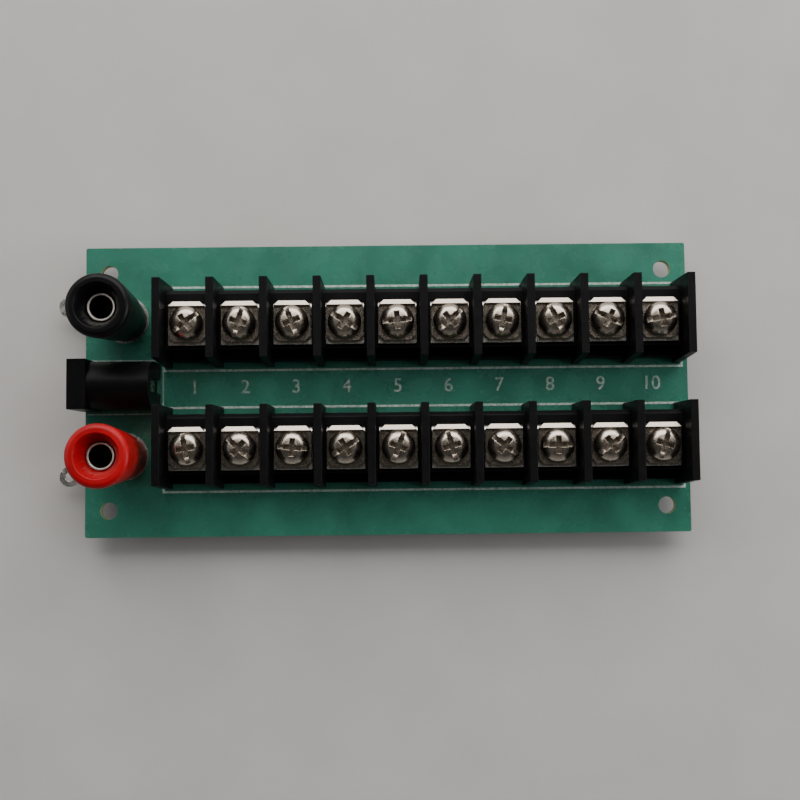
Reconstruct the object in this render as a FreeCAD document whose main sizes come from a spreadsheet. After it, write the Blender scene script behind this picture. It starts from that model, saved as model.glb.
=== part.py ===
import FreeCAD, Part

# Power distribution board: two barrier strips, two binding posts and a DC jack on a circuit board.
#
# Frame: millimetres, +Z up, origin on the underside of the board at the centre of its four
# mounting holes. +X runs towards the far end of the strips, +Y towards the rear row.
import math
import os
import re

import Sketcher
from FreeCAD import Placement, Rotation, Vector

doc = FreeCAD.newDocument("PowerDistributionBoard")
sheet = doc.addObject("Spreadsheet::Sheet", "Sizes")

# ---------------------------------------------------------------- driving dimensions
DIMENSIONS = {
    "circuit board": {
        "board_length": 113.03, "board_width": 54.4, "board_thickness": 1.6,
        "board_corner_radius": 0.4, "mounting_spacing_x": 104.14, "mounting_spacing_y": 44.45,
        "mounting_hole_diameter": 3.2},
    "barrier strips": {
        "terminal_pitch": 9.525, "terminal_count": 10, "strip_centre_x": 6.76,
        "row_spacing": 22.68, "row_middle_y": 0.45,
        "barrier_rear": 7.75, "barrier_front": 7.45, "barrier_height": 12.3, "barrier_thickness": 1.4,
        "barrier_slope": 0.9, "floor_height": 6.4, "floor_rear": 6.3, "floor_front": 4.6,
        "floor_chamfer": 0.7,
        "ledge_height": 3.2, "ledge_front": 6.45, "strip_floor_web": 1.2, "fit_gap": 0.1},
    "contacts": {
        "contact_width": 7.0, "contact_rear": 3.8, "contact_front": 3.95, "contact_thickness": 0.8,
        "contact_bend_radius": 1.1, "contact_skirt": 1.6, "boss_diameter": 4.8, "boss_length": 1.4,
        "tail_width": 1.2, "tail_below_board": 1.5, "tail_hole_diameter": 1.7},
    "clamp screws": {
        "thread_diameter": 3.4, "thread_gap": 0.08, "screw_length": 6.4, "screw_tip_chamfer": 0.5,
        "head_diameter": 6.0, "head_height": 2.2, "head_rim_height": 0.8, "head_crown": 0.25,
        "head_shoulder_radius": 2.0, "head_shoulder_run": 1.2, "head_crown_radius": 18.0,
        "slot_width": 0.8, "slot_depth": 0.9,
        "cross_length": 3.2, "cross_width": 0.95, "cross_depth": 1.5, "stack_gap": 0.02},
    "clamp plates": {
        "clamp_width": 6.7, "clamp_rear": 3.9, "clamp_front": 3.4, "clamp_thickness": 0.8,
        "clamp_corner": 0.9, "clamp_lip_width": 0.85, "clamp_lip_height": 0.75, "clamp_lip_fall": 0.35,
        "clamp_bend_radius": 0.5},
    "binding posts": {
        "post_x": -49.15, "post_spacing": 25.7, "post_middle_y": 0.72,
        "stud_diameter": 5.0, "stud_height": 17.2, "stud_thread_diameter": 4.0, "stud_shoulder": 1.0,
        "stud_foot_chamfer": 0.4, "stud_top_chamfer": 0.15, "stud_hole_diameter": 4.3,
        "stud_below_board": 4.2, "socket_diameter": 4.0, "socket_depth": 8.0, "socket_drill_point": 0.9,
        "seat_diameter": 7.8, "seat_thickness": 0.8, "wire_hole_diameter": 2.2, "wire_hole_rise": 1.4,
        "base_diameter": 8.2, "base_height": 4.6, "base_edge_radius": 0.5,
        "collar_diameter": 8.0, "collar_thickness": 1.0, "collar_chamfer": 0.2,
        "knob_diameter": 11.15, "knob_top": 20.2, "knob_foot_diameter": 9.5, "knob_foot_edge": 0.4,
        "knob_rim_radius": 1.0, "knob_dish_diameter": 7.9, "knob_dish_depth": 3.1},
    "lugs and nuts": {
        "nut_across_flats": 7.0, "nut_thickness": 2.4, "lug_thickness": 0.5, "lug_ring_diameter": 7.6,
        "lug_reach": 11.4, "lug_neck_width": 2.6, "lug_eye_diameter": 3.8, "lug_eye_hole": 1.7,
        "black_lug_angle": -14.0, "red_lug_angle": 18.7},
    "power jack": {
        "jack_face_x": -56.9, "jack_y": 0.8, "jack_length": 14.4, "jack_width": 9.0, "jack_height": 11.0,
        "jack_flange": 3.3, "jack_shoulder_width": 8.6, "jack_axis_height": 6.5,
        "jack_bore_diameter": 6.4, "jack_bore_depth": 10.4, "jack_rear_wall": 12.9,
        "jack_pin_diameter": 2.0, "jack_pin_setback": 1.0, "jack_pin_root_diameter": 2.6,
        "jack_tag_thickness": 0.5, "jack_tag_width": 2.4, "jack_tag_top": 8.2, "jack_tag_shoulder": 1.0,
        "jack_tag_foot_width": 1.6, "sleeve_tag_neck": 0.1, "sleeve_tag_shoulder": 0.6,
        "sleeve_tag_top": 3.3, "leaf_root": 10.2, "leaf_heel": 1.0, "leaf_tip": 4.3, "leaf_tip_drop": 0.7,
        "leaf_width": 2.4, "leaf_thickness": 0.35, "leaf_low": 1.3, "leaf_crest": 3.95,
        "leaf_crest_x": 5.6, "leaf_slot_width": 3.0, "leaf_slot_height": 4.3,
        "shunt_near": 7.0, "shunt_far": 10.6, "shunt_thickness": 0.4, "shunt_top": 5.4,
        "shunt_arm_height": 0.6, "shunt_arm_end": 9.0, "jack_slot_clearance": 0.3},
}


def fill_sheet():
    """One row per size: its name, its value and the group it belongs to."""
    row = 1
    for group, sizes in DIMENSIONS.items():
        for name, value in sizes.items():
            sheet.set(f"A{row}", name)
            sheet.set(f"B{row}", str(value))
            sheet.set(f"C{row}", group)
            sheet.setAlias(f"B{row}", name)
            row += 1
    doc.recompute()


fill_sheet()
SIZE_NAMES = {name for sizes in DIMENSIONS.values() for name in sizes}


# ---------------------------------------------------------------- helpers
def linked(formula):
    """A formula in size names, rewritten to point at the cells of the sheet."""
    return re.sub(r"[a-z][a-z0-9_]*", lambda word: f"Sizes.{word[0]}" if word[0] in SIZE_NAMES else word[0],
                  formula)


def value_of(formula):
    return float(sheet.evalExpression(linked(formula)))


def bind(item, prop, formula):
    item.setExpression(prop, linked(formula))


def new_body(name):
    body = doc.addObject("PartDesign::Body", name)
    body.Label = name
    return body


def origin_feature(body, role):
    return next(feature for feature in body.Origin.OriginFeatures if feature.Role == role)


def new_sketch(body, name, plane, lift=None):
    sketch = body.newObject("Sketcher::SketchObject", name)
    sketch.AttachmentSupport = [(origin_feature(body, plane), "")]
    sketch.MapMode = "FlatFace"
    if lift:
        bind(sketch, "AttachmentOffset.Base.z", lift)
    return sketch


def constrain(sketch, formula, kind, *where):
    index = sketch.addConstraint(Sketcher.Constraint(kind, *where, value_of(formula)))
    sketch.setExpression(f"Constraints[{index}]", linked(formula))


def arc_between(start, end, radius):
    """An arc from start to end, bulging to the right of the line between them."""
    chord = end - start
    side = Vector(-chord.y, chord.x, 0).normalize()
    bulge = radius - math.sqrt(radius ** 2 - (chord.Length / 2) ** 2)
    middle = start + chord * 0.5 - side * bulge
    return Part.Arc(start, middle, end)


def outline(body, name, plane, corners, lift=None):
    """A closed outline. A corner is (x, y), or (x, y, r) when an arc of radius r leads to the next."""
    sketch = new_sketch(body, name, plane, lift)
    points = [Vector(value_of(corner[0]), value_of(corner[1]), 0) for corner in corners]
    edges = []
    for index, corner in enumerate(corners):
        start, end = points[index], points[(index + 1) % len(points)]
        if len(corner) == 3:
            edge = sketch.addGeometry(arc_between(start, end, value_of(corner[2])))
        else:
            edge = sketch.addGeometry(Part.LineSegment(start, end))
        starts_here = sketch.getPoint(edge, 1).distanceToPoint(start) < 1e-6
        edges.append((edge, 1, 2) if starts_here else (edge, 2, 1))
    for index, corner in enumerate(corners):
        edge, first, last = edges[index]
        following = edges[(index + 1) % len(edges)]
        sketch.addConstraint(Sketcher.Constraint("Coincident", edge, last, following[0], following[1]))
        constrain(sketch, corner[0], "DistanceX", edge, first)
        constrain(sketch, corner[1], "DistanceY", edge, first)
        if len(corner) == 3:
            constrain(sketch, corner[2], "Radius", edge)
    return sketch


def rectangle(body, name, plane, left, right, low, high, lift=None):
    return outline(body, name, plane, [(left, low), (right, low), (right, high), (left, high)], lift)


def circles(body, name, plane, places, lift=None):
    """Round holes or discs, each given as (x, y, diameter)."""
    sketch = new_sketch(body, name, plane, lift)
    for across, up, diameter in places:
        centre = Vector(value_of(across), value_of(up), 0)
        ring = sketch.addGeometry(Part.Circle(centre, Vector(0, 0, 1), value_of(diameter) / 2))
        constrain(sketch, across, "DistanceX", ring, 3)
        constrain(sketch, up, "DistanceY", ring, 3)
        constrain(sketch, diameter, "Diameter", ring)
    return sketch


def pad(body, sketch, length, midplane=False, backwards=False):
    feature = body.newObject("PartDesign::Pad", sketch.Name + "_pad")
    feature.Profile = sketch
    bind(feature, "Length", length)
    feature.Midplane = midplane
    feature.Reversed = backwards
    doc.recompute()
    return feature


def pocket(body, sketch, depth=None, midplane=False, backwards=False):
    """Cuts the outline into the body, right through when no depth is given."""
    before = body.Shape.Volume
    feature = body.newObject("PartDesign::Pocket", sketch.Name + "_cut")
    feature.Profile = sketch
    feature.Midplane = midplane
    feature.Reversed = backwards
    if depth:
        bind(feature, "Length", depth)
    else:
        feature.Type = "ThroughAll"
    doc.recompute()
    if not body.Shape.Volume < before - 1e-3:
        raise RuntimeError(f"{feature.Name} removed nothing")
    return feature


def revolve(body, sketch):
    """Turns an outline on the XZ plane right round the Z axis."""
    feature = body.newObject("PartDesign::Revolution", sketch.Name + "_turned")
    feature.Profile = sketch
    feature.ReferenceAxis = (origin_feature(body, "Z_Axis"), [""])
    feature.Angle = 360
    doc.recompute()
    return feature


def repeat_along(body, features, axis, length, count):
    pattern = body.newObject("PartDesign::LinearPattern", features[0].Name + "_row")
    pattern.Originals = features
    pattern.Direction = (origin_feature(body, axis), [""])
    bind(pattern, "Length", length)
    bind(pattern, "Occurrences", count)
    body.Tip = pattern
    doc.recompute()
    return pattern


def place(item, across="0", along="0", up="0", turn=0.0):
    item.Placement = Placement(Vector(0, 0, 0), Rotation(Vector(0, 0, 1), turn))
    bind(item, "Placement.Base.x", across)
    bind(item, "Placement.Base.y", along)
    bind(item, "Placement.Base.z", up)
    return item


# ---------------------------------------------------------------- shared positions
TERMINALS = range(int(value_of("terminal_count")))
ROWS = {"rear": "row_middle_y + row_spacing / 2", "front": "row_middle_y - row_spacing / 2"}
POSTS = {"black": "post_middle_y + post_spacing / 2", "red": "post_middle_y - post_spacing / 2"}
FIRST_BARRIER_X = "strip_centre_x - terminal_pitch * terminal_count / 2"
FIRST_TERMINAL_X = "strip_centre_x - terminal_pitch * (terminal_count - 1) / 2"
ROW_LENGTH = "terminal_pitch * (terminal_count - 1)"
CONTACT_TOP = "board_thickness + floor_height + contact_thickness"
TAIL_Y = "contact_rear - contact_thickness / 2"
TAIL_LENGTH = "floor_height + board_thickness + tail_below_board"
SEAT_TOP = "base_height + seat_thickness"
WIRE_HOLE_HEIGHT = "base_height + seat_thickness + wire_hole_rise"
KNOB_FOOT = "base_height + seat_thickness + collar_thickness + 2 * stack_gap"
JACK_TAIL = "board_thickness + tail_below_board"
SLOT_TURN = 37
SLOT_TURN_BY_ROW = {"rear": 0, "front": 64}


# ---------------------------------------------------------------- circuit board
def circuit_board():
    body = new_body("circuit_board")
    blank = rectangle(body, "board_outline", "XY_Plane", "-board_length / 2", "board_length / 2",
                      "-board_width / 2", "board_width / 2")
    slab = pad(body, blank, "board_thickness")
    corners = [f"Edge{number}" for number, edge in enumerate(slab.Shape.Edges, 1)
               if abs(edge.tangentAt(edge.FirstParameter).z) > 0.9]
    rounding = body.newObject("PartDesign::Fillet", "board_corners")
    rounding.Base = (slab, corners)
    bind(rounding, "Radius", "board_corner_radius")
    doc.recompute()
    half_x, half_y = "mounting_spacing_x / 2", "mounting_spacing_y / 2"
    holes = [(f"{x_sign}{half_x}", f"{y_sign}{half_y}", "mounting_hole_diameter")
             for x_sign in ("", "-") for y_sign in ("", "-")]
    holes += [("post_x", post_y, "stud_hole_diameter") for post_y in POSTS.values()]
    pocket(body, circles(body, "board_holes", "XY_Plane", holes), midplane=True)
    tails = [(FIRST_TERMINAL_X, f"{row_y} + {TAIL_Y}", "tail_hole_diameter") for row_y in ROWS.values()]
    tail_holes = circles(body, "tail_holes", "XY_Plane", tails)
    repeat_along(body, [pocket(body, tail_holes, midplane=True)], "X_Axis", ROW_LENGTH, "terminal_count")
    jack_slots(body)
    return body


def jack_slots(body):
    """Three slots under the jack, one for each of its soldered feet."""
    gap = "jack_slot_clearance"
    half_foot = f"(jack_tag_foot_width / 2 + {gap})"
    feet = {
        "pin_slot": (f"jack_face_x + jack_rear_wall - {gap}",
                     f"jack_face_x + jack_rear_wall + jack_tag_thickness + {gap}",
                     f"jack_y - {half_foot}", f"jack_y + {half_foot}"),
        "sleeve_slot": (f"jack_face_x + leaf_root + fit_gap - {gap}",
                        f"jack_face_x + leaf_root + fit_gap + jack_tag_thickness + {gap}",
                        f"jack_y - {half_foot}", f"jack_y + {half_foot}"),
        "shunt_slot": (f"jack_face_x + (shunt_near + shunt_far) / 2 - {half_foot}",
                       f"jack_face_x + (shunt_near + shunt_far) / 2 + {half_foot}",
                       f"jack_y + jack_width / 2 - shunt_thickness - fit_gap - {gap}",
                       f"jack_y + jack_width / 2 - fit_gap + {gap}"),
    }
    for name, (left, right, low, high) in feet.items():
        pocket(body, rectangle(body, name, "XY_Plane", left, right, low, high), midplane=True)


# ---------------------------------------------------------------- barrier strips
def strip_housing(row):
    """Moulded strip: a floor that carries the contacts, and a tall thin barrier at each end of a cell."""
    body = new_body(f"{row}_strip_housing")
    floor = outline(body, f"{row}_floor", "YZ_Plane", [
        ("floor_rear", "0"), ("floor_rear", "floor_height - floor_chamfer"),
        ("floor_rear - floor_chamfer", "floor_height"), ("-floor_front", "floor_height"),
        ("-floor_front", "ledge_height"), ("-ledge_front", "ledge_height"), ("-ledge_front", "0")])
    pad(body, floor, "terminal_pitch * terminal_count")
    barrier = outline(body, f"{row}_barrier", "YZ_Plane", [
        ("barrier_rear", "0"), ("barrier_rear", "barrier_height"),
        ("barrier_slope - barrier_front", "barrier_height"), ("-barrier_front", "0")])
    repeat_along(body, [pad(body, barrier, "barrier_thickness", midplane=True)], "X_Axis",
                 "terminal_pitch * terminal_count", "terminal_count + 1")
    middle = "terminal_pitch / 2"
    well = circles(body, f"{row}_screw_well", "XY_Plane", [(middle, "0", "boss_diameter + 2 * fit_gap")],
                   lift="strip_floor_web")
    screw_well = pocket(body, well, "floor_height", backwards=True)
    skirt_slot = pocket(body, rectangle(
        body, f"{row}_skirt_slot", "XY_Plane", f"{middle} - contact_width / 2 - fit_gap",
        f"{middle} + contact_width / 2 + fit_gap", "contact_rear - contact_thickness - fit_gap",
        "contact_rear + fit_gap", lift="floor_height - contact_skirt - fit_gap"),
        "contact_skirt + fit_gap", backwards=True)
    tail_slot = pocket(body, rectangle(
        body, f"{row}_tail_slot", "XY_Plane", f"{middle} - tail_width / 2 - fit_gap",
        f"{middle} + tail_width / 2 + fit_gap", "contact_rear - contact_thickness - fit_gap",
        "contact_rear + fit_gap"), "floor_height", backwards=True)
    repeat_along(body, [screw_well, skirt_slot, tail_slot], "X_Axis", ROW_LENGTH, "terminal_count")
    return place(body, FIRST_BARRIER_X, ROWS[row], "board_thickness")


def strip_contacts(row):
    """Ten stamped contacts: a tapped top plate bent down at the rear into a skirt and a soldered tail."""
    body = new_body(f"{row}_strip_contacts")
    low, high = "floor_height", "floor_height + contact_thickness"
    profile = outline(body, f"{row}_contact_profile", "YZ_Plane", [
        ("-contact_front", low), ("contact_rear - contact_thickness", low),
        ("contact_rear - contact_thickness", f"{low} - contact_skirt"),
        ("contact_rear", f"{low} - contact_skirt"),
        ("contact_rear", f"{high} - contact_bend_radius", "contact_bend_radius"),
        ("contact_rear - contact_bend_radius", high), ("-contact_front", high)])
    pad(body, profile, "contact_width", midplane=True)
    tail = rectangle(body, f"{row}_contact_tail", "YZ_Plane", "contact_rear - contact_thickness",
                     "contact_rear", "-board_thickness - tail_below_board", f"{low} - contact_skirt")
    pad(body, tail, "tail_width", midplane=True)
    boss = circles(body, f"{row}_contact_boss", "XY_Plane", [("0", "0", "boss_diameter")],
                   lift=f"{low} - boss_length")
    pad(body, boss, "boss_length")
    bore = circles(body, f"{row}_contact_thread", "XY_Plane",
                   [("0", "0", "thread_diameter + 2 * thread_gap")], lift=f"{low} - boss_length")
    pocket(body, bore, "boss_length + contact_thickness", backwards=True)
    whole = body.newObject("PartDesign::LinearPattern", f"{row}_contact_row")
    whole.TransformMode = "Whole shape"
    whole.Direction = (origin_feature(body, "X_Axis"), [""])
    bind(whole, "Length", ROW_LENGTH)
    bind(whole, "Occurrences", "terminal_count")
    body.Tip = whole
    doc.recompute()
    return place(body, FIRST_TERMINAL_X, ROWS[row], "board_thickness")


def clamp_plate(row, number):
    """Square wire clamp under the screw head, its corners cut and its rear edge turned up and sheared."""
    name = f"{row}_clamp_{number + 1:02d}"
    body = new_body(name)
    flat, lip = "clamp_thickness", "clamp_thickness + clamp_lip_height"
    inner = "clamp_rear - clamp_lip_width"
    profile = outline(body, f"{name}_profile", "YZ_Plane", [
        ("-clamp_front", "0"), ("clamp_rear - clamp_bend_radius", "0", "clamp_bend_radius"),
        ("clamp_rear", "clamp_bend_radius"), ("clamp_rear", f"{lip} - clamp_lip_fall"), (inner, lip),
        (inner, flat), ("-clamp_front", flat)])
    pad(body, profile, "clamp_width", midplane=True)
    half, cut = "clamp_width / 2", "clamp_corner"
    for side, sign in (("right", ""), ("left", "-")):
        for edge, y_edge, y_back in (("rear", "clamp_rear", f"clamp_rear - {cut}"),
                                     ("front", "-clamp_front", f"-clamp_front + {cut}")):
            corner = outline(body, f"{name}_{side}_{edge}", "XY_Plane", [
                (f"{sign}{half}", y_edge), (f"{sign}({half} - {cut})", y_edge), (f"{sign}{half}", y_back)])
            pocket(body, corner, midplane=True)
    hole = circles(body, f"{name}_hole", "XY_Plane", [("0", "0", "thread_diameter + 2 * thread_gap")])
    pocket(body, hole, midplane=True)
    return place(body, f"{FIRST_TERMINAL_X} + terminal_pitch * {number}", ROWS[row],
                 f"{CONTACT_TOP} + stack_gap")


def clamp_screw(row, number):
    """Pan-head screw with a driver slot crossed by a Phillips recess; its thread is a plain shank."""
    name = f"{row}_screw_{number + 1:02d}"
    body = new_body(name)
    shank, head = "thread_diameter / 2", "head_diameter / 2"
    profile = outline(body, f"{name}_profile", "XZ_Plane", [
        ("0", "-screw_length"), (f"{shank} - screw_tip_chamfer", "-screw_length"),
        (shank, "screw_tip_chamfer - screw_length"), (shank, "0"), (head, "0"),
        (head, "head_rim_height", "head_shoulder_radius"),
        (f"{head} - head_shoulder_run", "head_height - head_crown", "head_crown_radius"),
        ("0", "head_height")])
    revolve(body, profile)
    slot = rectangle(body, f"{name}_slot", "XY_Plane", "-head_diameter", "head_diameter",
                     "-slot_width / 2", "slot_width / 2", lift="head_height - slot_depth")
    pocket(body, slot, "head_height", backwards=True)
    for arm, (reach_x, reach_y) in {"long": ("cross_length / 2", "cross_width / 2"),
                                    "short": ("cross_width / 2", "cross_length / 2")}.items():
        recess = rectangle(body, f"{name}_cross_{arm}", "XY_Plane", f"-{reach_x}", reach_x,
                           f"-{reach_y}", reach_y, lift="head_height - cross_depth")
        pocket(body, recess, "head_height", backwards=True)
    return place(body, f"{FIRST_TERMINAL_X} + terminal_pitch * {number}", ROWS[row],
                 f"{CONTACT_TOP} + clamp_thickness + 2 * stack_gap",
                 SLOT_TURN * (number + 1) + SLOT_TURN_BY_ROW[row])


# ---------------------------------------------------------------- binding posts
def post_stud(colour):
    """Turned stud: socket at the top, cross hole for a wire, seat flange, and a threaded foot."""
    body = new_body(f"{colour}_post_stud")
    foot, shaft = "stud_thread_diameter / 2", "stud_diameter / 2"
    socket, seat = "socket_diameter / 2", "seat_diameter / 2"
    floor, end = "stud_height - socket_depth", "-board_thickness - stud_below_board"
    foot_edge, top_edge = "stud_foot_chamfer", "stud_top_chamfer"
    profile = outline(body, f"{colour}_stud_profile", "XZ_Plane", [
        ("0", end), (f"{foot} - {foot_edge}", end), (foot, f"{foot_edge} + ({end})"),
        (foot, "stud_shoulder"), (shaft, "stud_shoulder"), (shaft, "base_height"),
        (seat, "base_height"), (seat, SEAT_TOP), (shaft, SEAT_TOP),
        (shaft, f"stud_height - {top_edge}"), (f"{shaft} - {top_edge}", "stud_height"),
        (f"{socket} + {top_edge}", "stud_height"), (socket, f"stud_height - {top_edge}"),
        (socket, floor), ("0", f"{floor} - socket_drill_point")])
    revolve(body, profile)
    pocket(body, circles(body, f"{colour}_wire_hole", "XZ_Plane",
                         [("0", WIRE_HOLE_HEIGHT, "wire_hole_diameter")]), midplane=True)
    return place(body, "post_x", POSTS[colour], "board_thickness")


def post_base(colour):
    """Insulating collar that carries the stud's seat clear of the board."""
    body = new_body(f"{colour}_post_base")
    outer, edge = "base_diameter / 2", "base_edge_radius"
    narrow = "stud_thread_diameter / 2 + stack_gap"
    wide = "stud_diameter / 2 + stack_gap"
    profile = outline(body, f"{colour}_base_profile", "XZ_Plane", [
        (narrow, "0"), (outer, "0"), (outer, f"base_height - {edge}", edge),
        (f"{outer} - {edge}", "base_height"), (wide, "base_height"), (wide, "stud_shoulder"),
        (narrow, "stud_shoulder")])
    revolve(body, profile)
    return place(body, "post_x", POSTS[colour], "board_thickness")


def post_collar(colour):
    """Metal pressure ring, captive under the knob: it lifts with the knob but doesn't turn."""
    body = new_body(f"{colour}_post_collar")
    bore, outer = "stud_diameter / 2 + thread_gap", "collar_diameter / 2"
    edge, top = "collar_chamfer", "collar_thickness"
    profile = outline(body, f"{colour}_collar_profile", "XZ_Plane", [
        (bore, "0"), (f"{outer} - {edge}", "0"), (outer, edge), (outer, f"{top} - {edge}"),
        (f"{outer} - {edge}", top), (bore, top)])
    revolve(body, profile)
    return place(body, "post_x", POSTS[colour], f"board_thickness + {SEAT_TOP} + stack_gap")


def post_knob(colour):
    """Thumb knob: a grip that widens upwards, a rounded rim, and a funnel down to the socket."""
    body = new_body(f"{colour}_post_knob")
    bore, outer, foot = "stud_diameter / 2 + thread_gap", "knob_diameter / 2", "knob_foot_diameter / 2"
    rim, edge, top = "knob_rim_radius", "knob_foot_edge", f"knob_top - ({KNOB_FOOT})"
    profile = outline(body, f"{colour}_knob_profile", "XZ_Plane", [
        (bore, "0"), (f"{foot} - {edge}", "0"), (foot, edge), (outer, f"{top} - {rim}", rim),
        (f"{outer} - {rim}", top), ("knob_dish_diameter / 2", top), (bore, f"{top} - knob_dish_depth")])
    revolve(body, profile)
    return place(body, "post_x", POSTS[colour], f"board_thickness + {KNOB_FOOT}")


def hex_nuts():
    """One nut on the foot of each stud, under its solder lug."""
    body = new_body("post_hex_nuts")
    flat = "nut_across_flats / 2"
    point = "nut_across_flats / 2 / cos(30 deg)"
    half_side = "nut_across_flats / 2 * tan(30 deg)"
    hexagon = outline(body, "nut_outline", "XY_Plane", [
        (point, "0"), (half_side, flat), (f"-{half_side}", flat), (f"-{point}", "0"),
        (f"-{half_side}", f"-{flat}"), (half_side, f"-{flat}")])
    pad(body, hexagon, "nut_thickness")
    pocket(body, circles(body, "nut_thread", "XY_Plane",
                         [("0", "0", "stud_thread_diameter + 2 * stack_gap")]), midplane=True)
    both = body.newObject("PartDesign::LinearPattern", "nut_pair")
    both.TransformMode = "Whole shape"
    both.Direction = (origin_feature(body, "Y_Axis"), [""])
    bind(both, "Length", "post_spacing")
    both.Occurrences = 2
    body.Tip = both
    doc.recompute()
    return place(body, "post_x", POSTS["red"], "-lug_thickness - nut_thickness - 2 * stack_gap")


def solder_lug(colour):
    """Flat ring lug whose tail reaches out past the end of the board to a wiring eye."""
    body = new_body(f"{colour}_lug")
    ring = circles(body, f"{colour}_lug_ring", "XY_Plane", [("0", "0", "lug_ring_diameter")])
    pad(body, ring, "lug_thickness")
    neck = rectangle(body, f"{colour}_lug_neck", "XY_Plane", "-lug_reach", "0",
                     "-lug_neck_width / 2", "lug_neck_width / 2")
    pad(body, neck, "lug_thickness")
    eye = circles(body, f"{colour}_lug_eye", "XY_Plane", [("-lug_reach", "0", "lug_eye_diameter")])
    pad(body, eye, "lug_thickness")
    holes = circles(body, f"{colour}_lug_holes", "XY_Plane", [
        ("-lug_reach", "0", "lug_eye_hole"), ("0", "0", "stud_thread_diameter + 2 * stack_gap")])
    pocket(body, holes, midplane=True)
    return place(body, "post_x", POSTS[colour], "-lug_thickness - stack_gap",
                 value_of(f"{colour}_lug_angle"))


def solder_lugs():
    pair = doc.addObject("Part::Compound", "post_solder_lugs")
    pair.Links = [solder_lug(colour) for colour in POSTS]
    pair.Label = "post_solder_lugs"
    return pair


# ---------------------------------------------------------------- power jack
def jack_housing():
    """Moulded jack body: square front flange, arched rear, round plug bore, and slots for its contacts."""
    body = new_body("jack_housing")
    half, axis = "jack_width / 2", "jack_axis_height"
    face = rectangle(body, "jack_flange_outline", "YZ_Plane", f"-{half}", half, "0", "jack_height")
    pad(body, face, "jack_flange")
    shoulder = "jack_shoulder_width / 2"
    arch = outline(body, "jack_arch_outline", "YZ_Plane", [
        (f"-{shoulder}", "0"), (shoulder, "0"), (shoulder, axis, shoulder),
        ("0", f"{axis} + {shoulder}", shoulder), (f"-{shoulder}", axis)])
    pad(body, arch, "jack_length")
    pocket(body, circles(body, "jack_bore", "YZ_Plane", [("0", axis, "jack_bore_diameter")]),
           "jack_bore_depth", backwards=True)
    pocket(body, circles(body, "jack_pin_seat", "YZ_Plane",
                         [("0", axis, "jack_pin_root_diameter + 2 * stack_gap")]), backwards=True)
    tag_half = "jack_tag_width / 2 + fit_gap"
    recess = rectangle(body, "jack_tag_recess", "XY_Plane", "jack_rear_wall", "jack_length",
                       f"-({tag_half})", tag_half)
    pocket(body, recess, "jack_tag_top + fit_gap", backwards=True)
    channel = rectangle(body, "jack_leaf_channel", "XY_Plane", "jack_flange",
                        "leaf_root + jack_tag_thickness + 2 * fit_gap",
                        "-leaf_slot_width / 2", "leaf_slot_width / 2")
    pocket(body, channel, "leaf_slot_height", backwards=True)
    side = rectangle(body, "jack_shunt_recess", "XY_Plane", "shunt_near - fit_gap", "shunt_far + fit_gap",
                     f"{half} - shunt_thickness - 2 * fit_gap", half)
    pocket(body, side, "shunt_top + fit_gap", backwards=True)
    arm = rectangle(body, "jack_arm_recess", "XY_Plane", "shunt_near - fit_gap",
                    "shunt_arm_end + 2 * fit_gap", "0", half)
    pocket(body, arm, "shunt_arm_height + 2 * fit_gap", backwards=True)
    return place(body, "jack_face_x", "jack_y", "board_thickness")


def jack_centre_pin():
    """Plug pin with a round nose and a thick root, riveted to the rear tag soldered into the board."""
    body = new_body("jack_centre_pin")
    radius, nose, root = "jack_pin_diameter / 2", "jack_pin_setback", "jack_pin_root_diameter / 2"
    back = "jack_rear_wall + jack_tag_thickness"
    profile = outline(body, "jack_pin_profile", "XZ_Plane", [
        (nose, "0"), (back, "0"), (back, root), ("jack_bore_depth", root), ("jack_bore_depth", radius),
        (f"{nose} + {radius}", radius, radius)])
    turned = body.newObject("PartDesign::Revolution", "jack_pin_turned")
    turned.Profile = profile
    turned.ReferenceAxis = (origin_feature(body, "X_Axis"), [""])
    turned.Angle = 360
    doc.recompute()
    tag_half, foot_half = "jack_tag_width / 2", "jack_tag_foot_width / 2"
    low = "-jack_axis_height"
    foot, shoulder = f"{low} - ({JACK_TAIL})", f"{low} + jack_tag_shoulder"
    tag = outline(body, "jack_pin_tag", "YZ_Plane", [
        (f"-{foot_half}", foot), (foot_half, foot), (foot_half, low), (tag_half, shoulder),
        (tag_half, f"{low} + jack_tag_top"), (f"-{tag_half}", f"{low} + jack_tag_top"),
        (f"-{tag_half}", shoulder), (f"-{foot_half}", low)], lift="jack_rear_wall + stack_gap")
    pad(body, tag, "jack_tag_thickness")
    return place(body, "jack_face_x", "jack_y", "board_thickness + jack_axis_height")


def jack_sleeve_leaf():
    """Sprung leaf under the bore: its crest stands into the bore and presses on the plug's sleeve."""
    body = new_body("jack_sleeve_leaf")
    thick, heel, tip = "leaf_thickness", "leaf_root - leaf_heel", "leaf_crest - leaf_tip_drop"
    profile = outline(body, "jack_leaf_profile", "XZ_Plane", [
        ("leaf_root", "leaf_low"), ("leaf_root", f"leaf_low + {thick}"), (heel, f"leaf_low + {thick}"),
        ("leaf_crest_x", "leaf_crest"), ("leaf_tip", tip), ("leaf_tip", f"{tip} - {thick}"),
        ("leaf_crest_x", f"leaf_crest - {thick}"), (heel, "leaf_low")])
    pad(body, profile, "leaf_width", midplane=True)
    return place(body, "jack_face_x", "jack_y", "board_thickness")


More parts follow.
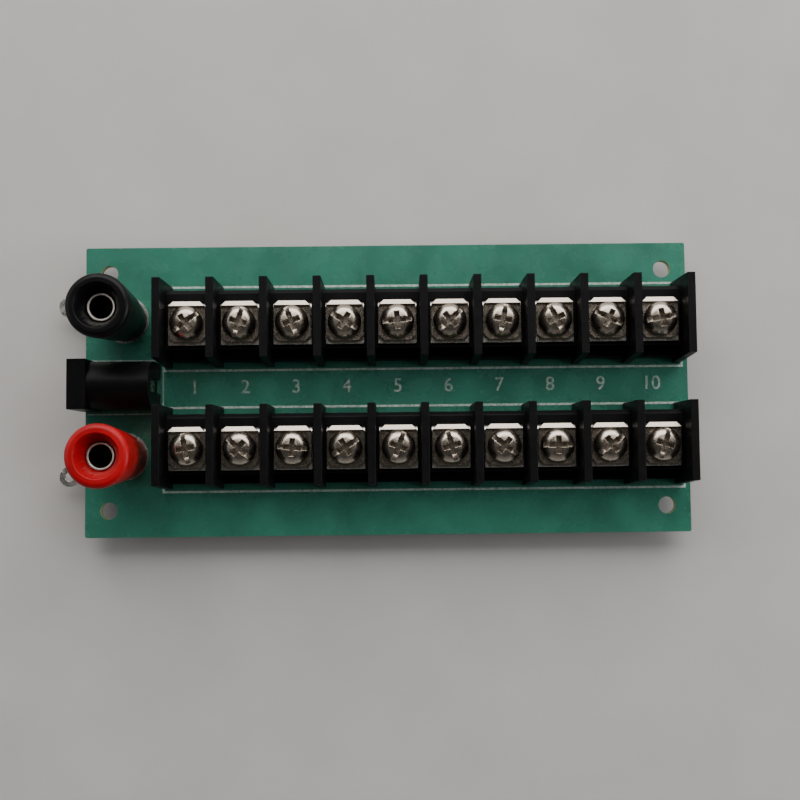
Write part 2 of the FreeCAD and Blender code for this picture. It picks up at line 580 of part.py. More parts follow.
def jack_sleeve_tag():
    """Fixed tag at the root of the leaf, soldered into the board."""
    body = new_body("jack_sleeve_tag")
    tag_half, foot_half = "jack_tag_width / 2", "jack_tag_foot_width / 2"
    foot, neck = f"-({JACK_TAIL})", "sleeve_tag_neck"
    shoulder, top = "sleeve_tag_shoulder", "sleeve_tag_top"
    tag = outline(body, "jack_sleeve_tag_outline", "YZ_Plane", [
        (f"-{foot_half}", foot), (foot_half, foot), (foot_half, neck), (tag_half, shoulder),
        (tag_half, top), (f"-{tag_half}", top), (f"-{tag_half}", shoulder), (f"-{foot_half}", neck)],
        lift="leaf_root + fit_gap")
    pad(body, tag, "jack_tag_thickness")
    return place(body, "jack_face_x", "jack_y", "board_thickness")


def jack_shunt_contact():
    """Side contact with an arm under the leaf, which it touches when no plug is in."""
    body = new_body("jack_shunt_contact")
    outer = "jack_width / 2 - fit_gap"
    plate = rectangle(body, "jack_shunt_plate", "XY_Plane", "shunt_near", "shunt_far",
                      f"{outer} - shunt_thickness", outer)
    pad(body, plate, "shunt_top")
    foot = rectangle(body, "jack_shunt_foot", "XY_Plane",
                     "(shunt_near + shunt_far) / 2 - jack_tag_foot_width / 2",
                     "(shunt_near + shunt_far) / 2 + jack_tag_foot_width / 2",
                     f"{outer} - shunt_thickness", outer)
    pad(body, foot, JACK_TAIL, backwards=True)
    arm = rectangle(body, "jack_shunt_arm", "XY_Plane", "shunt_near", "shunt_arm_end",
                    "fit_gap", f"{outer} - shunt_thickness", lift="fit_gap")
    pad(body, arm, "shunt_arm_height")
    return place(body, "jack_face_x", "jack_y", "board_thickness")


# ---------------------------------------------------------------- assembly and files
def build_all():
    pieces = [circuit_board()]
    for row in ROWS:
        pieces += [strip_housing(row), strip_contacts(row)]
        for number in TERMINALS:
            pieces += [clamp_plate(row, number), clamp_screw(row, number)]
    for colour in POSTS:
        pieces += [post_stud(colour), post_base(colour), post_collar(colour), post_knob(colour)]
    pieces += [hex_nuts(), solder_lugs()]
    pieces += [jack_housing(), jack_centre_pin(), jack_sleeve_leaf(), jack_sleeve_tag()]
    pieces.append(jack_shunt_contact())
    doc.recompute()
    return pieces


def check(pieces):
    failed = [item.Name for item in doc.Objects if {"Invalid", "Error"} & set(item.State)]
    if failed:
        raise RuntimeError("failed objects: " + ", ".join(failed))
    for piece in pieces:
        if piece.Shape.isNull() or not piece.Shape.isValid() or not piece.Shape.Solids:
            raise RuntimeError("bad shape: " + piece.Label)


def write(pieces):
    os.makedirs("parts", exist_ok=True)
    for piece in pieces:
        piece.Shape.exportStep(os.path.join("parts", piece.Label + ".step"))


PIECES = build_all()
check(PIECES)
write(PIECES)
print(len(PIECES), "parts,", sum(len(piece.Shape.Solids) for piece in PIECES), "solids")
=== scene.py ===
import math

import bmesh
import bpy
from mathutils import Euler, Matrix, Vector, noise


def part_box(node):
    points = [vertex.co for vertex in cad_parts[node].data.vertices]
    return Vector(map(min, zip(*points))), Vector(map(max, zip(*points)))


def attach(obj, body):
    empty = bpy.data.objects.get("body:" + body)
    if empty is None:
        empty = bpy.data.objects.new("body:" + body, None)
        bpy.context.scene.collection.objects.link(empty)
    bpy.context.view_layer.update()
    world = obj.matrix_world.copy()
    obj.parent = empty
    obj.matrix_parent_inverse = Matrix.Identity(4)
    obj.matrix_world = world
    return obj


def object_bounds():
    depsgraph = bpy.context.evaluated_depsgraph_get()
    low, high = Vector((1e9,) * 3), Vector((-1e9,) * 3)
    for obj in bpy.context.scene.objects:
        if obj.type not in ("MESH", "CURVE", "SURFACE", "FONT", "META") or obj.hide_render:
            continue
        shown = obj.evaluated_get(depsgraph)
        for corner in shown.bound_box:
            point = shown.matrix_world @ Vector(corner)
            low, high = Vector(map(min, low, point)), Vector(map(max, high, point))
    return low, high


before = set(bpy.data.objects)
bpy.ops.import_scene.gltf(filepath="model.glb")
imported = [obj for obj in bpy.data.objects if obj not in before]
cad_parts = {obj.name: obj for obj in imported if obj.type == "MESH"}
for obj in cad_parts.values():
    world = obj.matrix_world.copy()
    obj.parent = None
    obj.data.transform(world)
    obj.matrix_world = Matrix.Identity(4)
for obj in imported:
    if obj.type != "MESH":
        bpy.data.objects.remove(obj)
CAD_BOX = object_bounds()

# ---------------------------------------------------------------- measures, in metres
MM = 0.001
ROWS = ("rear", "front")
POSTS = ("black", "red")
BOARD_LOW, BOARD_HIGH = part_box("circuit_board")
TOP = BOARD_HIGH.z
UNDER = BOARD_LOW.z
INK_THICKNESS = 0.05 * MM
STRIP_LINE = 0.4 * MM
COPPER_THICKNESS = 0.035 * MM
PAD_THICKNESS = 2 * COPPER_THICKNESS
CONTACT_THICKNESS = 0.8 * MM
TAG_THICKNESS = 0.5 * MM
SHUNT_THICKNESS = 0.4 * MM
CLAMP_WITH_GAP = 0.82 * MM


def centre_of(node):
    low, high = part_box(node)
    return (low + high) / 2


REAR_SCREWS = sorted(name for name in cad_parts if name.startswith("rear_screw_"))
TERMINAL_X = [centre_of(name).x for name in REAR_SCREWS]
TAIL_Y = {row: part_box(f"{row}_strip_contacts")[1].y - CONTACT_THICKNESS / 2 for row in ROWS}
POST_AT = {colour: centre_of(f"{colour}_post_base") for colour in POSTS}

# the thread of a terminal screw lies below this height, the underside of its head
SCREW_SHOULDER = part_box("rear_clamp_01")[0].z + CLAMP_WITH_GAP
SCREW_PITCH = 0.794 * MM
POST_PITCH = 0.8 * MM
# radii on a post's stud
SOCKET_WALL = 2.05 * MM
THREAD_ROOT = 2.4 * MM
THREAD_CREST = 2.6 * MM


# ---------------------------------------------------------------- shader graphs
class Graph:
    """A material's node tree, with one short method for each kind of node it uses."""

    def __init__(self, name):
        self.material = bpy.data.materials.new(name)
        self.material.use_nodes = True
        self.nodes = self.material.node_tree.nodes
        self.links = self.material.node_tree.links
        self.shader = self.nodes["Principled BSDF"]
        self.place = self.add("ShaderNodeTexCoord").outputs["Object"]

    def add(self, kind, settings=None, **inputs):
        node = self.nodes.new(kind)
        for key, value in (settings or {}).items():
            setattr(node, key, value)
        for key, value in inputs.items():
            self.put(node.inputs[key.replace("_", " ")], value)
        return node

    def put(self, socket, value):
        if isinstance(value, bpy.types.NodeSocket):
            self.links.new(value, socket)
        elif socket.type == "RGBA" and len(value) == 3:
            socket.default_value = (*value, 1.0)
        else:
            socket.default_value = value

    def noise(self, size, detail=3.0, roughness=0.55, place=None):
        """Noise whose features are about size metres across."""
        node = self.add("ShaderNodeTexNoise", Scale=1.0 / size, Detail=detail, Roughness=roughness)
        self.put(node.inputs["Vector"], place or self.place)
        return node.outputs["Fac"]

    def stretched(self, x, y, z):
        """Object coordinates scaled along each axis."""
        node = self.add("ShaderNodeMapping", Scale=(x, y, z))
        self.put(node.inputs["Vector"], self.place)
        return node.outputs["Vector"]

    def height(self):
        return self.add("ShaderNodeSeparateXYZ", Vector=self.place).outputs["Z"]

    def ramp(self, value, *stops):
        """Colours along a value; each stop is (position, (r, g, b))."""
        node = self.add("ShaderNodeValToRGB", Fac=value)
        elements = node.color_ramp.elements
        while len(elements) < len(stops):
            elements.new(0.5)
        for element, (position, colour) in zip(elements, stops):
            element.position = position
            element.color = (*colour, 1.0)
        return node.outputs["Color"]

    def span(self, value, low, high, to_low=0.0, to_high=1.0):
        node = self.add("ShaderNodeMapRange", Value=value)
        limits = {"From Min": low, "From Max": high, "To Min": to_low, "To Max": to_high}
        for key, number in limits.items():
            node.inputs[key].default_value = number
        return node.outputs["Result"]

    def maths(self, operation, first, second=0.0):
        node = self.add("ShaderNodeMath", {"operation": operation})
        self.put(node.inputs[0], first)
        self.put(node.inputs[1], second)
        return node.outputs["Value"]

    def mix(self, factor, first, second):
        node = self.add("ShaderNodeMix", {"data_type": "RGBA"})
        self.put(node.inputs["Factor"], factor)
        self.put(node.inputs[6], first)
        self.put(node.inputs[7], second)
        return node.outputs[2]

    def worn_edge(self, radius):
        """About 1 on sharp outer edges and 0 on open faces."""
        soft = self.add("ShaderNodeBevel", {"samples": 4}, Radius=radius)
        flat = self.add("ShaderNodeNewGeometry").outputs["Normal"]
        dot = self.add("ShaderNodeVectorMath", {"operation": "DOT_PRODUCT"})
        self.links.new(soft.outputs["Normal"], dot.inputs[0])
        self.links.new(flat, dot.inputs[1])
        return self.span(dot.outputs["Value"], 0.995, 0.8)

    def crevice(self, distance):
        """About 1 in corners that little light reaches."""
        shade = self.add("ShaderNodeAmbientOcclusion", {"samples": 4}, Distance=distance)
        return self.span(shade.outputs["AO"], 0.85, 0.2)

    def thread(self, pitch, mask, below):
        """Ridges of a screw thread along the height, where mask is 1."""
        ridge = self.maths("PINGPONG", self.height(), pitch / 2)
        return self.bump(self.maths("MULTIPLY", ridge, mask), 1.0, 1.0, below)

    def bump(self, height, depth, strength=1.0, below=None):
        node = self.add("ShaderNodeBump", Height=height, Distance=depth, Strength=strength)
        if below:
            self.links.new(below, node.inputs["Normal"])
        return node.outputs["Normal"]

    def finish(self, **inputs):
        for key, value in inputs.items():
            self.put(self.shader.inputs[key.replace("_", " ")], value)
        return self.material


# ---------------------------------------------------------------- materials
def solder_mask(name, tint, laminate):
    """Green lacquer over woven glass: a faint weave, cloudy colour, and bare laminate on the edges."""
    g = Graph(name)
    cloud = g.noise(9 * MM, 4.0)
    speck = g.noise(0.35 * MM, 2.0)
    lacquer = g.ramp(cloud, (0.3, [c * 0.8 for c in tint]), (0.7, [min(1, c * 1.2) for c in tint]))
    lacquer = g.mix(g.span(speck, 0.62, 0.8, 0.0, 0.35), lacquer, [min(1, c * 1.9) for c in tint])
    thread_scale = 160.0
    warp = g.add("ShaderNodeTexWave", {"bands_direction": "X"}, Scale=thread_scale, Distortion=0.6)
    weft = g.add("ShaderNodeTexWave", {"bands_direction": "Y"}, Scale=thread_scale, Distortion=0.6)
    for wave in (warp, weft):
        g.links.new(g.place, wave.inputs["Vector"])
    weave = g.maths("ADD", warp.outputs["Fac"], weft.outputs["Fac"])
    flat = g.add("ShaderNodeNewGeometry").outputs["Normal"]
    facing_up = g.add("ShaderNodeSeparateXYZ", Vector=flat).outputs["Z"]
    side = g.span(g.maths("ABSOLUTE", facing_up), 0.6, 0.4)
    fibres = g.noise(0.08 * MM, 2.0, place=g.stretched(1.0, 1.0, 6.0))
    edge = g.ramp(fibres, (0.3, laminate), (0.75, [min(1, c * 1.6) for c in laminate]))
    colour = g.mix(side, lacquer, edge)
    normal = g.bump(weave, 0.004 * MM, 0.5, g.bump(cloud, 0.05 * MM, 0.4))
    rough = g.mix(side, g.ramp(g.noise(3 * MM), (0.2, (0.2,) * 3), (0.8, (0.34,) * 3)), (0.75,) * 3)
    return g.finish(Base_Color=colour, Roughness=rough, Normal=normal,
                    Coat_Weight=0.25, Coat_Roughness=0.12)


def moulded_plastic(name, tint, rough, shine=0.15, grain=0.006):
    """Injection-moulded plastic: fine grain, faint flow marks, handled edges and dust in the corners."""
    g = Graph(name)
    flow = g.noise(4 * MM, 3.0, place=g.stretched(1.0, 1.0, 0.25))
    colour = g.ramp(flow, (0.25, [c * 0.75 for c in tint]), (0.75, [min(1, c * 1.2) for c in tint]))
    worn = g.maths("MULTIPLY", g.worn_edge(0.12 * MM), g.span(g.noise(0.9 * MM), 0.35, 0.65, 0.0, 0.4))
    colour = g.mix(worn, colour, [min(1, c * 1.6 + 0.008) for c in tint])
    dust = g.maths("MULTIPLY", g.crevice(1.2 * MM), g.span(g.noise(0.8 * MM), 0.5, 0.75, 0.0, 0.03))
    colour = g.mix(dust, colour, (0.2, 0.19, 0.17))
    roughness = g.span(g.noise(1.3 * MM), 0.2, 0.8, rough * 0.8, min(1.0, rough * 1.25))
    fine = g.noise(0.07 * MM, 2.0)
    normal = g.bump(fine, grain * MM, 0.5, g.bump(g.noise(1.6 * MM, 2.0), 0.03 * MM, 0.3))
    return g.finish(Base_Color=colour, Roughness=roughness, Normal=normal, Specular_IOR_Level=shine)


def plated_metal(name, tint, rough, scratch=(1.0, 14.0, 1.0), mark_size=0.5, thread_below=None):
    """Plated metal: drawn scratches, cloudy sheen, patchy painted shade in its corners, edges partly
    rubbed and partly painted as highlights, a thread if asked.
    """
    g = Graph(name)
    lines = g.noise(mark_size * MM, 4.0, place=g.stretched(*scratch))
    cloud = g.noise(1.1 * MM, 3.0)
    colour = g.ramp(cloud, (0.25, [c * 0.82 for c in tint]), (0.75, tint))
    # painted shade: patchy dark brown in the corners that little light reaches
    patchy_corner_shade = g.maths("MULTIPLY", g.crevice(0.8 * MM), g.span(g.noise(0.9 * MM), 0.3, 0.7, 0.25, 0.7))
    colour = g.mix(patchy_corner_shade, colour, (0.16, 0.11, 0.07))
    # partly edge wear, partly painted highlight: every sharp edge a little brighter
    rubbed_and_highlit = g.maths("MULTIPLY", g.worn_edge(0.08 * MM), 0.45)
    colour = g.mix(rubbed_and_highlit, colour, [min(1, c * 1.25) for c in tint])
    roughness = g.span(g.maths("ADD", lines, cloud), 0.6, 1.4, rough * 0.7, rough * 1.5)
    normal = g.bump(lines, 0.006 * MM, 0.6, g.bump(g.noise(0.9 * MM, 2.0), 0.05 * MM, 0.35))
    if thread_below:
        shank = g.maths("LESS_THAN", g.height(), thread_below)
        normal = g.thread(SCREW_PITCH, shank, normal)
    return g.finish(Base_Color=colour, Metallic=1.0, Roughness=roughness, Normal=normal)


def turned_metal(name, tint, rough, centre):
    """A stud turned on a lathe: fine rings about its axis, painted shade in its crevices, a socket painted
    dark as shade and a thread on its outside.
    """
    g = Graph(name)
    moved = g.add("ShaderNodeVectorMath", {"operation": "SUBTRACT"})
    g.links.new(g.place, moved.inputs[0])
    moved.inputs[1].default_value = (centre.x, centre.y, 0.0)
    parts = g.add("ShaderNodeSeparateXYZ", Vector=moved.outputs["Vector"])
    across = g.maths("POWER", parts.outputs["X"], 2.0)
    along = g.maths("POWER", parts.outputs["Y"], 2.0)
    radius = g.maths("SQRT", g.maths("ADD", across, along))
    ring_place = g.add("ShaderNodeCombineXYZ", X=radius, Y=parts.outputs["Z"])
    rings = g.noise(0.09 * MM, 2.0, place=ring_place.outputs["Vector"])
    cloud = g.noise(1.4 * MM, 3.0)
    colour = g.ramp(cloud, (0.25, [c * 0.85 for c in tint]), (0.75, tint))
    # painted shade: darker brown in the crevices that little light reaches
    colour = g.mix(g.maths("MULTIPLY", g.crevice(1.0 * MM), 0.6), colour, (0.2, 0.16, 0.11))
    above = g.maths("GREATER_THAN", g.height(), TOP)
    # painted shade: the inside of the socket painted nearly black, as the shade down the hole
    socket = g.maths("MULTIPLY", above, g.maths("LESS_THAN", radius, SOCKET_WALL))
    colour = g.mix(g.maths("MULTIPLY", socket, 0.93), colour, (0.02, 0.018, 0.015))
    roughness = g.span(g.maths("ADD", rings, cloud), 0.6, 1.4, rough * 0.7, rough * 1.4)
    shaft = g.maths("MULTIPLY", g.maths("GREATER_THAN", radius, THREAD_ROOT),
                    g.maths("LESS_THAN", radius, THREAD_CREST))
    foot = g.maths("LESS_THAN", g.height(), UNDER)
    threaded = g.maths("MAXIMUM", g.maths("MULTIPLY", above, shaft), foot)
    normal = g.thread(POST_PITCH, threaded, g.bump(rings, 0.008 * MM, 0.6))
    return g.finish(Base_Color=colour, Metallic=1.0, Roughness=roughness, Normal=normal)


def bright_solder(name, lump):
    """Tin with a frosted skin, lumps of the given height in mm, and some brown flux in its corners."""
    g = Graph(name)
    cloud = g.noise(0.5 * MM, 4.0)
    colour = g.ramp(cloud, (0.3, (0.66, 0.66, 0.65)), (0.7, (0.78, 0.78, 0.77)))
    flux = g.maths("MULTIPLY", g.crevice(0.6 * MM), g.span(g.noise(0.8 * MM), 0.4, 0.7))
    colour = g.mix(flux, colour, (0.3, 0.2, 0.08))
    roughness = g.span(cloud, 0.3, 0.7, 0.26, 0.36)
    normal = g.bump(g.noise(0.35 * MM, 2.0), lump * MM, 0.5)
    return g.finish(Base_Color=colour, Metallic=1.0, Roughness=roughness, Normal=normal)


def screen_ink(name, thin, thick):
    """White printing ink, thin enough in places for the lacquer to show through."""
    g = Graph(name)
    patch = g.noise(0.5 * MM, 3.0)
    colour = g.ramp(patch, (0.35, thin), (0.6, thick))
    roughness = g.span(patch, 0.3, 0.7, 0.45, 0.7)
    normal = g.bump(g.noise(0.15 * MM, 2.0), 0.01 * MM, 0.6)
    return g.finish(Base_Color=colour, Roughness=roughness, Normal=normal)


def paper_floor(name):
    """Pale grey card with a faint mottle."""
    g = Graph(name)
    mottle = g.noise(22 * MM, 4.0)
    colour = g.ramp(mottle, (0.3, (0.40, 0.385, 0.375)), (0.7, (0.44, 0.425, 0.415)))
    normal = g.bump(g.noise(0.6 * MM, 3.0), 0.03 * MM, 0.4)
    return g.finish(Base_Color=colour, Roughness=0.75, Normal=normal)


LAMINATE = (0.24, 0.27, 0.12)
BLACK = (0.003, 0.003, 0.0035)
TRACK_GREEN = (0.030, 0.168, 0.113)
BOARD = solder_mask("green_board", (0.025, 0.145, 0.098), LAMINATE)
TRACK = solder_mask("green_over_copper", TRACK_GREEN, TRACK_GREEN)
MOULDING = moulded_plastic("black_moulding", BLACK, 0.45, 0.12)
JACK_BLACK = moulded_plastic("jack_plastic", BLACK, 0.38, 0.10)
POST_PLASTIC = {"black": moulded_plastic("black_plastic", BLACK, 0.33, 0.14, 0.003),
                "red": moulded_plastic("red_plastic", (0.33, 0.004, 0.008), 0.34, 0.2, 0.003)}
SCREW_METAL = plated_metal("plated_screw", (0.50, 0.44, 0.37), 0.26, (1.0, 1.0, 6.0), 0.35, SCREW_SHOULDER)
CLAMP_METAL = plated_metal("plated_clamp", (0.44, 0.39, 0.33), 0.24)
TINNED = plated_metal("tinned_brass", (0.66, 0.64, 0.60), 0.27, (10.0, 1.0, 1.0), 0.7)
NUT_METAL = plated_metal("nut_metal", (0.78, 0.74, 0.66), 0.22, (1.0, 1.0, 9.0))
SOLDER = bright_solder("solder", 0.03)
PAD = bright_solder("tinned_pad", 0.004)
LINE_INK = screen_ink("line_ink", (0.20, 0.30, 0.25), (0.46, 0.53, 0.48))
# a darker copy of the printing ink: painted shade for the print that lies in shadow, the numbers and the
# jack's outline
SHADED_INK = screen_ink("shaded_ink", (0.10, 0.22, 0.17), (0.36, 0.42, 0.38))


def wear(node, material):
    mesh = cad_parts[node].data
    mesh.materials.clear()
    mesh.materials.append(material)


# ---------------------------------------------------------------- mesh helpers
MERGE_DISTANCE = 0.001 * MM
FLAT_ANGLE = 0.5
SHARP_ANGLE = 32
# a lumpy piece reads its noise on a circle of this radius, this much further on for each mm of
# height, and this much further on for each metre between two pieces
LUMP_CIRCLE = 1.7
LUMP_RISE = 0.8
LUMP_SHIFT = 300


def soften(node, width, segments=2):
    """Rounds the sharp edges of a CAD node by width, in mm, with modifiers that leave its mesh alone."""
    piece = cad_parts[node]
    weld = piece.modifiers.new("weld", "WELD")
    weld.merge_threshold = MERGE_DISTANCE
    flat = piece.modifiers.new("flat", "DECIMATE")
    flat.decimate_type = "DISSOLVE"
    flat.angle_limit = math.radians(FLAT_ANGLE)
    bevel = piece.modifiers.new("bevel", "BEVEL")
    bevel.width = width * MM
    bevel.segments = segments
    bevel.limit_method = "ANGLE"
    bevel.angle_limit = math.radians(SHARP_ANGLE)
    bevel.use_clamp_overlap = True
    shading = piece.modifiers.new("shading", "WEIGHTED_NORMAL")
    shading.weight = 100
    for polygon in piece.data.polygons:
        polygon.use_smooth = True


def new_piece(name, mesh, material):
    """Adds a mesh to the board, which is fixed to the root body."""
    mesh.materials.append(material)
    piece = bpy.data.objects.new(name, mesh)
    bpy.context.scene.collection.objects.link(piece)
    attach(piece, "root")


def mesh_from(name, build, smooth=False):
    """A mesh filled in by build(bm)."""
    bm = bmesh.new()
    build(bm)
    mesh = bpy.data.meshes.new(name)
    bm.normal_update()
    bm.to_mesh(mesh)
    bm.free()
    for polygon in mesh.polygons:
        polygon.use_smooth = smooth
    return mesh


def add_prism(bm, points, low, high):
    """A closed slab over a flat outline, from height low to height high."""
    bottom = [bm.verts.new((x, y, low)) for x, y in points]
    top = [bm.verts.new((x, y, high)) for x, y in points]
    count = len(points)
    bm.faces.new(list(reversed(bottom)))
    bm.faces.new(top)
    for here in range(count):
        there = (here + 1) % count
        bm.faces.new((bottom[here], bottom[there], top[there], top[here]))


def add_bar(bm, x0, y0, x1, y1, low, high):
    add_prism(bm, [(x0, y0), (x1, y0), (x1, y1), (x0, y1)], low, high)


def add_frame(bm, x0, y0, x1, y1, line, low, high):
    """A rectangular line loop, centred on the rectangle's sides, made of four bars that don't overlap."""
    half = line / 2
    add_bar(bm, x0 - half, y0 - half, x1 + half, y0 + half, low, high)
    add_bar(bm, x0 - half, y1 - half, x1 + half, y1 + half, low, high)
    add_bar(bm, x0 - half, y0 + half, x0 + half, y1 - half, low, high)
    add_bar(bm, x1 - half, y0 + half, x1 + half, y1 - half, low, high)


def add_lathe(bm, centre, profile, steps=48, ripple=0.0):
    """Turns a closed loop of (radius, height) points about a vertical axis through centre."""
    rings = []
    for step in range(steps):
        angle = 2 * math.pi * step / steps
        ring = []
        for radius, height in profile:
            wobble = 1.0
            if ripple:
                spot = Vector((math.cos(angle) * LUMP_CIRCLE, math.sin(angle) * LUMP_CIRCLE,
                               height / MM * LUMP_RISE))
                wobble += ripple * noise.noise(spot + centre * LUMP_SHIFT)
            ring.append(bm.verts.new((centre.x + radius * wobble * math.cos(angle),
                                      centre.y + radius * wobble * math.sin(angle), height)))
        rings.append(ring)
    count = len(profile)
    for step in range(steps):
        here, there = rings[step], rings[(step + 1) % steps]
        for point in range(count):
            following = (point + 1) % count
            bm.faces.new((here[point], there[point], there[following], here[following]))


def rounded_bar(x0, y0, x1, y1, corner, steps=5):
    """Outline of a rectangle with round corners, anticlockwise."""
    centres = [(x1 - corner, y1 - corner), (x0 + corner, y1 - corner),
               (x0 + corner, y0 + corner), (x1 - corner, y0 + corner)]
    points = []
    for quarter, (x, y) in enumerate(centres):
        for step in range(steps + 1):
            angle = math.pi / 2 * (quarter + step / steps)
            points.append((x + corner * math.cos(angle), y + corner * math.sin(angle)))
    return points


# ---------------------------------------------------------------- board printing and copper
def strip_outline(row):
    """Left, front, right and rear of the line printed round a strip, measured to its middle."""
    low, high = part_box(f"{row}_strip_housing")
    end_gap = 0.35 * MM
    front_gap = 0.51 * MM
    return low.x - end_gap, low.y - front_gap, high.x + end_gap, high.y


def print_strip_outlines():
    """A printed rectangle round each strip, with its rear line under the edge of the housing."""

    def build(bm):
        for row in ROWS:
            add_frame(bm, *strip_outline(row), STRIP_LINE, TOP, TOP + INK_THICKNESS)

    new_piece("strip_outlines", mesh_from("strip_outlines", build), LINE_INK)


def print_jack_outline():
    """Three thinner lines round the jack, from the board's edge to the outlines of the strips, in ink
    darkened as painted shade.
    """
    low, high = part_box("jack_housing")
    gap = 0.4 * MM
    line = 0.25 * MM
    left = BOARD_LOW.x + gap
    right = strip_outline("rear")[0] - STRIP_LINE / 2
    rear = high.y + gap
    front = low.y - gap
    behind = strip_outline("rear")[1] - STRIP_LINE / 2
    before = strip_outline("front")[3] + STRIP_LINE / 2

    def build(bm):
        add_bar(bm, left, rear, right, rear + line, TOP, TOP + INK_THICKNESS)
        add_bar(bm, left, front - line, right, front, TOP, TOP + INK_THICKNESS)
        add_bar(bm, right, before, right + line, behind, TOP, TOP + INK_THICKNESS)

    new_piece("jack_outline", mesh_from("jack_outline", build), SHADED_INK)


def print_numbers():
    """Position numbers 1 to 10 between the two rows, in ink darkened as painted shade."""
    letter_height = 3.6 * MM
    boldness = 0.02 * MM
    middle = (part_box("rear_strip_housing")[0].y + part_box("front_strip_housing")[1].y) / 2
    for index, x in enumerate(TERMINAL_X):
        text = bpy.data.curves.new(f"position_{index + 1:02d}", "FONT")
        text.body = str(index + 1)
        text.size = letter_height
        text.extrude = INK_THICKNESS / 2
        text.offset = boldness
        text.align_x, text.align_y = "CENTER", "CENTER"
        holder = bpy.data.objects.new("holder", text)
        holder.location = (x, middle, TOP + INK_THICKNESS / 2)
        bpy.context.scene.collection.objects.link(holder)
        bpy.context.view_layer.update()
        evaluated = holder.evaluated_get(bpy.context.evaluated_depsgraph_get())
        mesh = bpy.data.meshes.new_from_object(evaluated)
        mesh.transform(holder.matrix_world)
        bpy.data.objects.remove(holder)
        mesh.materials.clear()
        new_piece(f"position_number_{index + 1:02d}", mesh, SHADED_INK)


def copper_tracks():
    """Wide power tracks under the lacquer: one for each row, on both sides of the board."""
    beyond_last = 3.4 * MM
    beyond_post = 5.0 * MM
    before_tail = 5.6 * MM
    behind_tail = 1.9 * MM
    corner = 1.5 * MM
    right = TERMINAL_X[-1] + beyond_last

    def build(bm):
        for colour, row in zip(POSTS, ROWS):
            left = POST_AT[colour].x - beyond_post
            front = TAIL_Y[row] - before_tail
            rear = TAIL_Y[row] + behind_tail
            for low, high in ((TOP, TOP + COPPER_THICKNESS), (UNDER - COPPER_THICKNESS, UNDER)):
                add_prism(bm, rounded_bar(left, front, right, rear, corner), low, high)

    new_piece("copper_tracks", mesh_from("copper_tracks", build), TRACK)


def add_ring(bm, centre, inner, outer, low, high, steps):
    add_lathe(bm, centre, [(inner, low), (outer, low), (outer, high), (inner, high)], steps)


def tinned_pads():
    """Bare tinned rings: under each post on both sides, and round each tail underneath."""
    post_hole = 2.3 * MM
    post_pad_above = 4.45 * MM
    post_pad_below = 4.6 * MM
    tail_hole = 0.9 * MM
    tail_pad = 1.5 * MM

    def build(bm):
        for colour in POSTS:
            centre = POST_AT[colour]
            add_ring(bm, centre, post_hole, post_pad_above, TOP, TOP + PAD_THICKNESS, steps=64)
            add_ring(bm, centre, post_hole, post_pad_below, UNDER - PAD_THICKNESS, UNDER, steps=64)
        for row in ROWS:
            for x in TERMINAL_X:
                spot = Vector((x, TAIL_Y[row], 0))
                add_ring(bm, spot, tail_hole, tail_pad, UNDER - PAD_THICKNESS, UNDER, steps=32)

    new_piece("tinned_pads", mesh_from("tinned_pads", build), PAD)


def jack_tails():
    """Where the jack's three tails come through the board."""
    sleeve = centre_of("jack_sleeve_tag")
    pin = centre_of("jack_centre_pin")
    pin_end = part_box("jack_centre_pin")[1].x
    shunt = centre_of("jack_shunt_contact")
    shunt_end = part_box("jack_shunt_contact")[1].y
    return [Vector((sleeve.x, sleeve.y, 0)),
            Vector((pin_end - TAG_THICKNESS / 2, pin.y, 0)),
            Vector((shunt.x, shunt_end - SHUNT_THICKNESS / 2, 0))]


def solder_joints():
    """A fillet of solder climbing each tail that comes through the board."""
    # radius and depth below the board, in mm, from the rim of the fillet to its core
    fillet = [(1.42, 0.0), (1.38, 0.08), (1.1, 0.3), (0.85, 0.65),
              (0.74, 1.0), (0.66, 1.2), (0.2, 1.24), (0.2, 0.0)]
    profile = [(radius * MM, UNDER - depth * MM) for radius, depth in reversed(fillet)]
    lumpiness = 0.12

    def build(bm):
        spots = [Vector((x, TAIL_Y[row], 0)) for row in ROWS for x in TERMINAL_X]
        for spot in spots + jack_tails():
            add_lathe(bm, spot, profile, steps=28, ripple=lumpiness)

    new_piece("solder_joints", mesh_from("solder_joints", build, smooth=True), SOLDER)


# ---------------------------------------------------------------- finish on the CAD pieces
def dress_cad_pieces():
    wear("circuit_board", BOARD)
    soften("circuit_board", 0.06, 1)
    for row in ROWS:
        wear(f"{row}_strip_housing", MOULDING)
        soften(f"{row}_strip_housing", 0.3, 3)
        wear(f"{row}_strip_contacts", TINNED)
        soften(f"{row}_strip_contacts", 0.07)
    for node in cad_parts:
        if "_clamp_" in node:
            wear(node, CLAMP_METAL)
            soften(node, 0.1)
        elif "_screw_" in node:
            wear(node, SCREW_METAL)
            soften(node, 0.07)
    for colour in POSTS:
        nickel = turned_metal(f"{colour}_stud_nickel", (0.80, 0.77, 0.70), 0.42, POST_AT[colour])
        for part in ("base", "knob"):
            wear(f"{colour}_post_{part}", POST_PLASTIC[colour])
            soften(f"{colour}_post_{part}", 0.12)
        for part in ("stud", "collar"):
            wear(f"{colour}_post_{part}", nickel)
            soften(f"{colour}_post_{part}", 0.06)
    wear("post_hex_nuts", NUT_METAL)
    soften("post_hex_nuts", 0.18)
    wear("jack_housing", JACK_BLACK)
    soften("jack_housing", 0.15)
    for node in ("post_solder_lugs", "jack_centre_pin", "jack_sleeve_leaf", "jack_sleeve_tag",
                 "jack_shunt_contact"):
        wear(node, TINNED)
        soften(node, 0.05)


# ---------------------------------------------------------------- floor, light and camera
FLOOR_REACH = 1.5


def stage_floor():
    def build(bm):
        bmesh.ops.create_grid(bm, x_segments=8, y_segments=8, size=FLOOR_REACH)

    mesh = mesh_from("floor", build)
    mesh.materials.append(paper_floor("paper_floor"))
    floor = bpy.data.objects.new("floor", mesh)
    floor.location.z = CAD_BOX[0].z
    bpy.context.scene.collection.objects.link(floor)


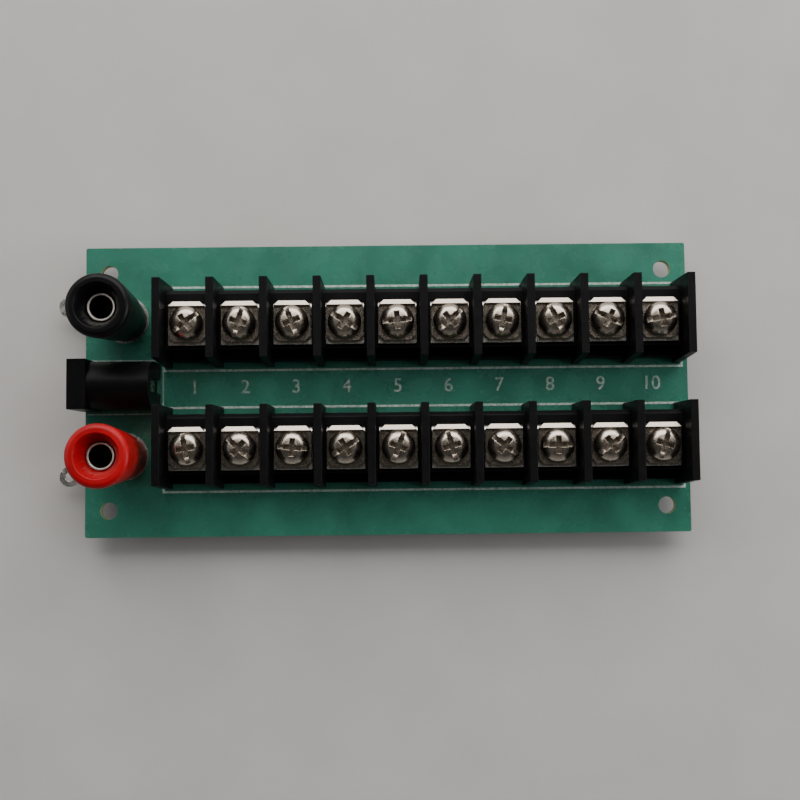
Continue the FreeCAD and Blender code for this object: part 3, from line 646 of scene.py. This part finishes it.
def soft_light(name, place, size, power, colour):
    lamp = bpy.data.lights.new(name, "AREA")
    lamp.shape = "RECTANGLE"
    lamp.size, lamp.size_y = size
    lamp.energy = power
    lamp.color = colour
    holder = bpy.data.objects.new(name, lamp)
    holder.location = place
    holder.rotation_euler = (Vector((0, 0, 0)) - Vector(place)).to_track_quat("-Z", "Y").to_euler()
    bpy.context.scene.collection.objects.link(holder)


def grey(level):
    return (level, level, level)


def graded(tree, value, lowest, stops):
    """Colours of the room along a direction, from lowest to 1; each stop is (position, colour)."""
    spread = tree.nodes.new("ShaderNodeMapRange")
    spread.inputs["From Min"].default_value = lowest
    ramp = tree.nodes.new("ShaderNodeValToRGB")
    elements = ramp.color_ramp.elements
    while len(elements) < len(stops):
        elements.new(0.5)
    for element, (position, colour) in zip(elements, stops):
        element.position = position
        element.color = (*colour, 1.0)
    tree.links.new(value, spread.inputs["Value"])
    tree.links.new(spread.outputs["Result"], ramp.inputs["Fac"])
    return ramp.outputs["Color"]


def studio_light():
    """A broad key light behind, weak fills at both sides, and a room that is dark overhead."""
    soft_light("key", (0.06, 0.50, 0.44), (1.0, 0.6), 8.5, (1.0, 0.97, 0.94))
    soft_light("fill_left", (-0.5, 0.1, 0.35), (0.35, 0.3), 0.6, (0.93, 0.96, 1.0))
    soft_light("fill_right", (0.55, -0.05, 0.22), (0.3, 0.3), 1.6, (0.95, 0.97, 1.0))
    world = bpy.data.worlds.new("studio")
    world.use_nodes = True
    bpy.context.scene.world = world
    tree = world.node_tree
    where = tree.nodes.new("ShaderNodeTexCoord")
    split = tree.nodes.new("ShaderNodeSeparateXYZ")
    tree.links.new(where.outputs["Generated"], split.inputs["Vector"])
    by_height = graded(tree, split.outputs["Z"], 0.0, (
        (0.0, grey(1.0)), (0.45, grey(0.55)), (0.8, (0.15, 0.145, 0.135)), (1.0, (0.10, 0.093, 0.082))))
    by_depth = graded(tree, split.outputs["Y"], -1.0, (
        (0.0, grey(0.35)), (0.5, grey(0.5)), (1.0, grey(1.3))))
    both = tree.nodes.new("ShaderNodeMix")
    both.data_type = "RGBA"
    both.blend_type = "MULTIPLY"
    both.inputs["Factor"].default_value = 1.0
    tree.links.new(by_height, both.inputs[6])
    tree.links.new(by_depth, both.inputs[7])
    tree.links.new(both.outputs[2], tree.nodes["Background"].inputs["Color"])
    tree.nodes["Background"].inputs["Strength"].default_value = 0.9


def overhead_camera():
    """Close above the board, a little in front of its centre and leaning back by about three degrees."""
    data = bpy.data.cameras.new("camera")
    data.sensor_width = 36.0
    data.lens = 49.5
    data.shift_x = -0.0009
    data.shift_y = 0.0004
    data.clip_start = 0.01
    camera = bpy.data.objects.new("camera", data)
    camera.location = (1.34 * MM, -13.68 * MM, TOP + 206.04 * MM)
    camera.rotation_euler = Euler([math.radians(angle) for angle in (3.21, -0.29, -0.63)])
    bpy.context.scene.collection.objects.link(camera)
    bpy.context.scene.camera = camera


dress_cad_pieces()
print_strip_outlines()
print_jack_outline()
print_numbers()
copper_tracks()
tinned_pads()
solder_joints()
stage_floor()
studio_light()
overhead_camera()
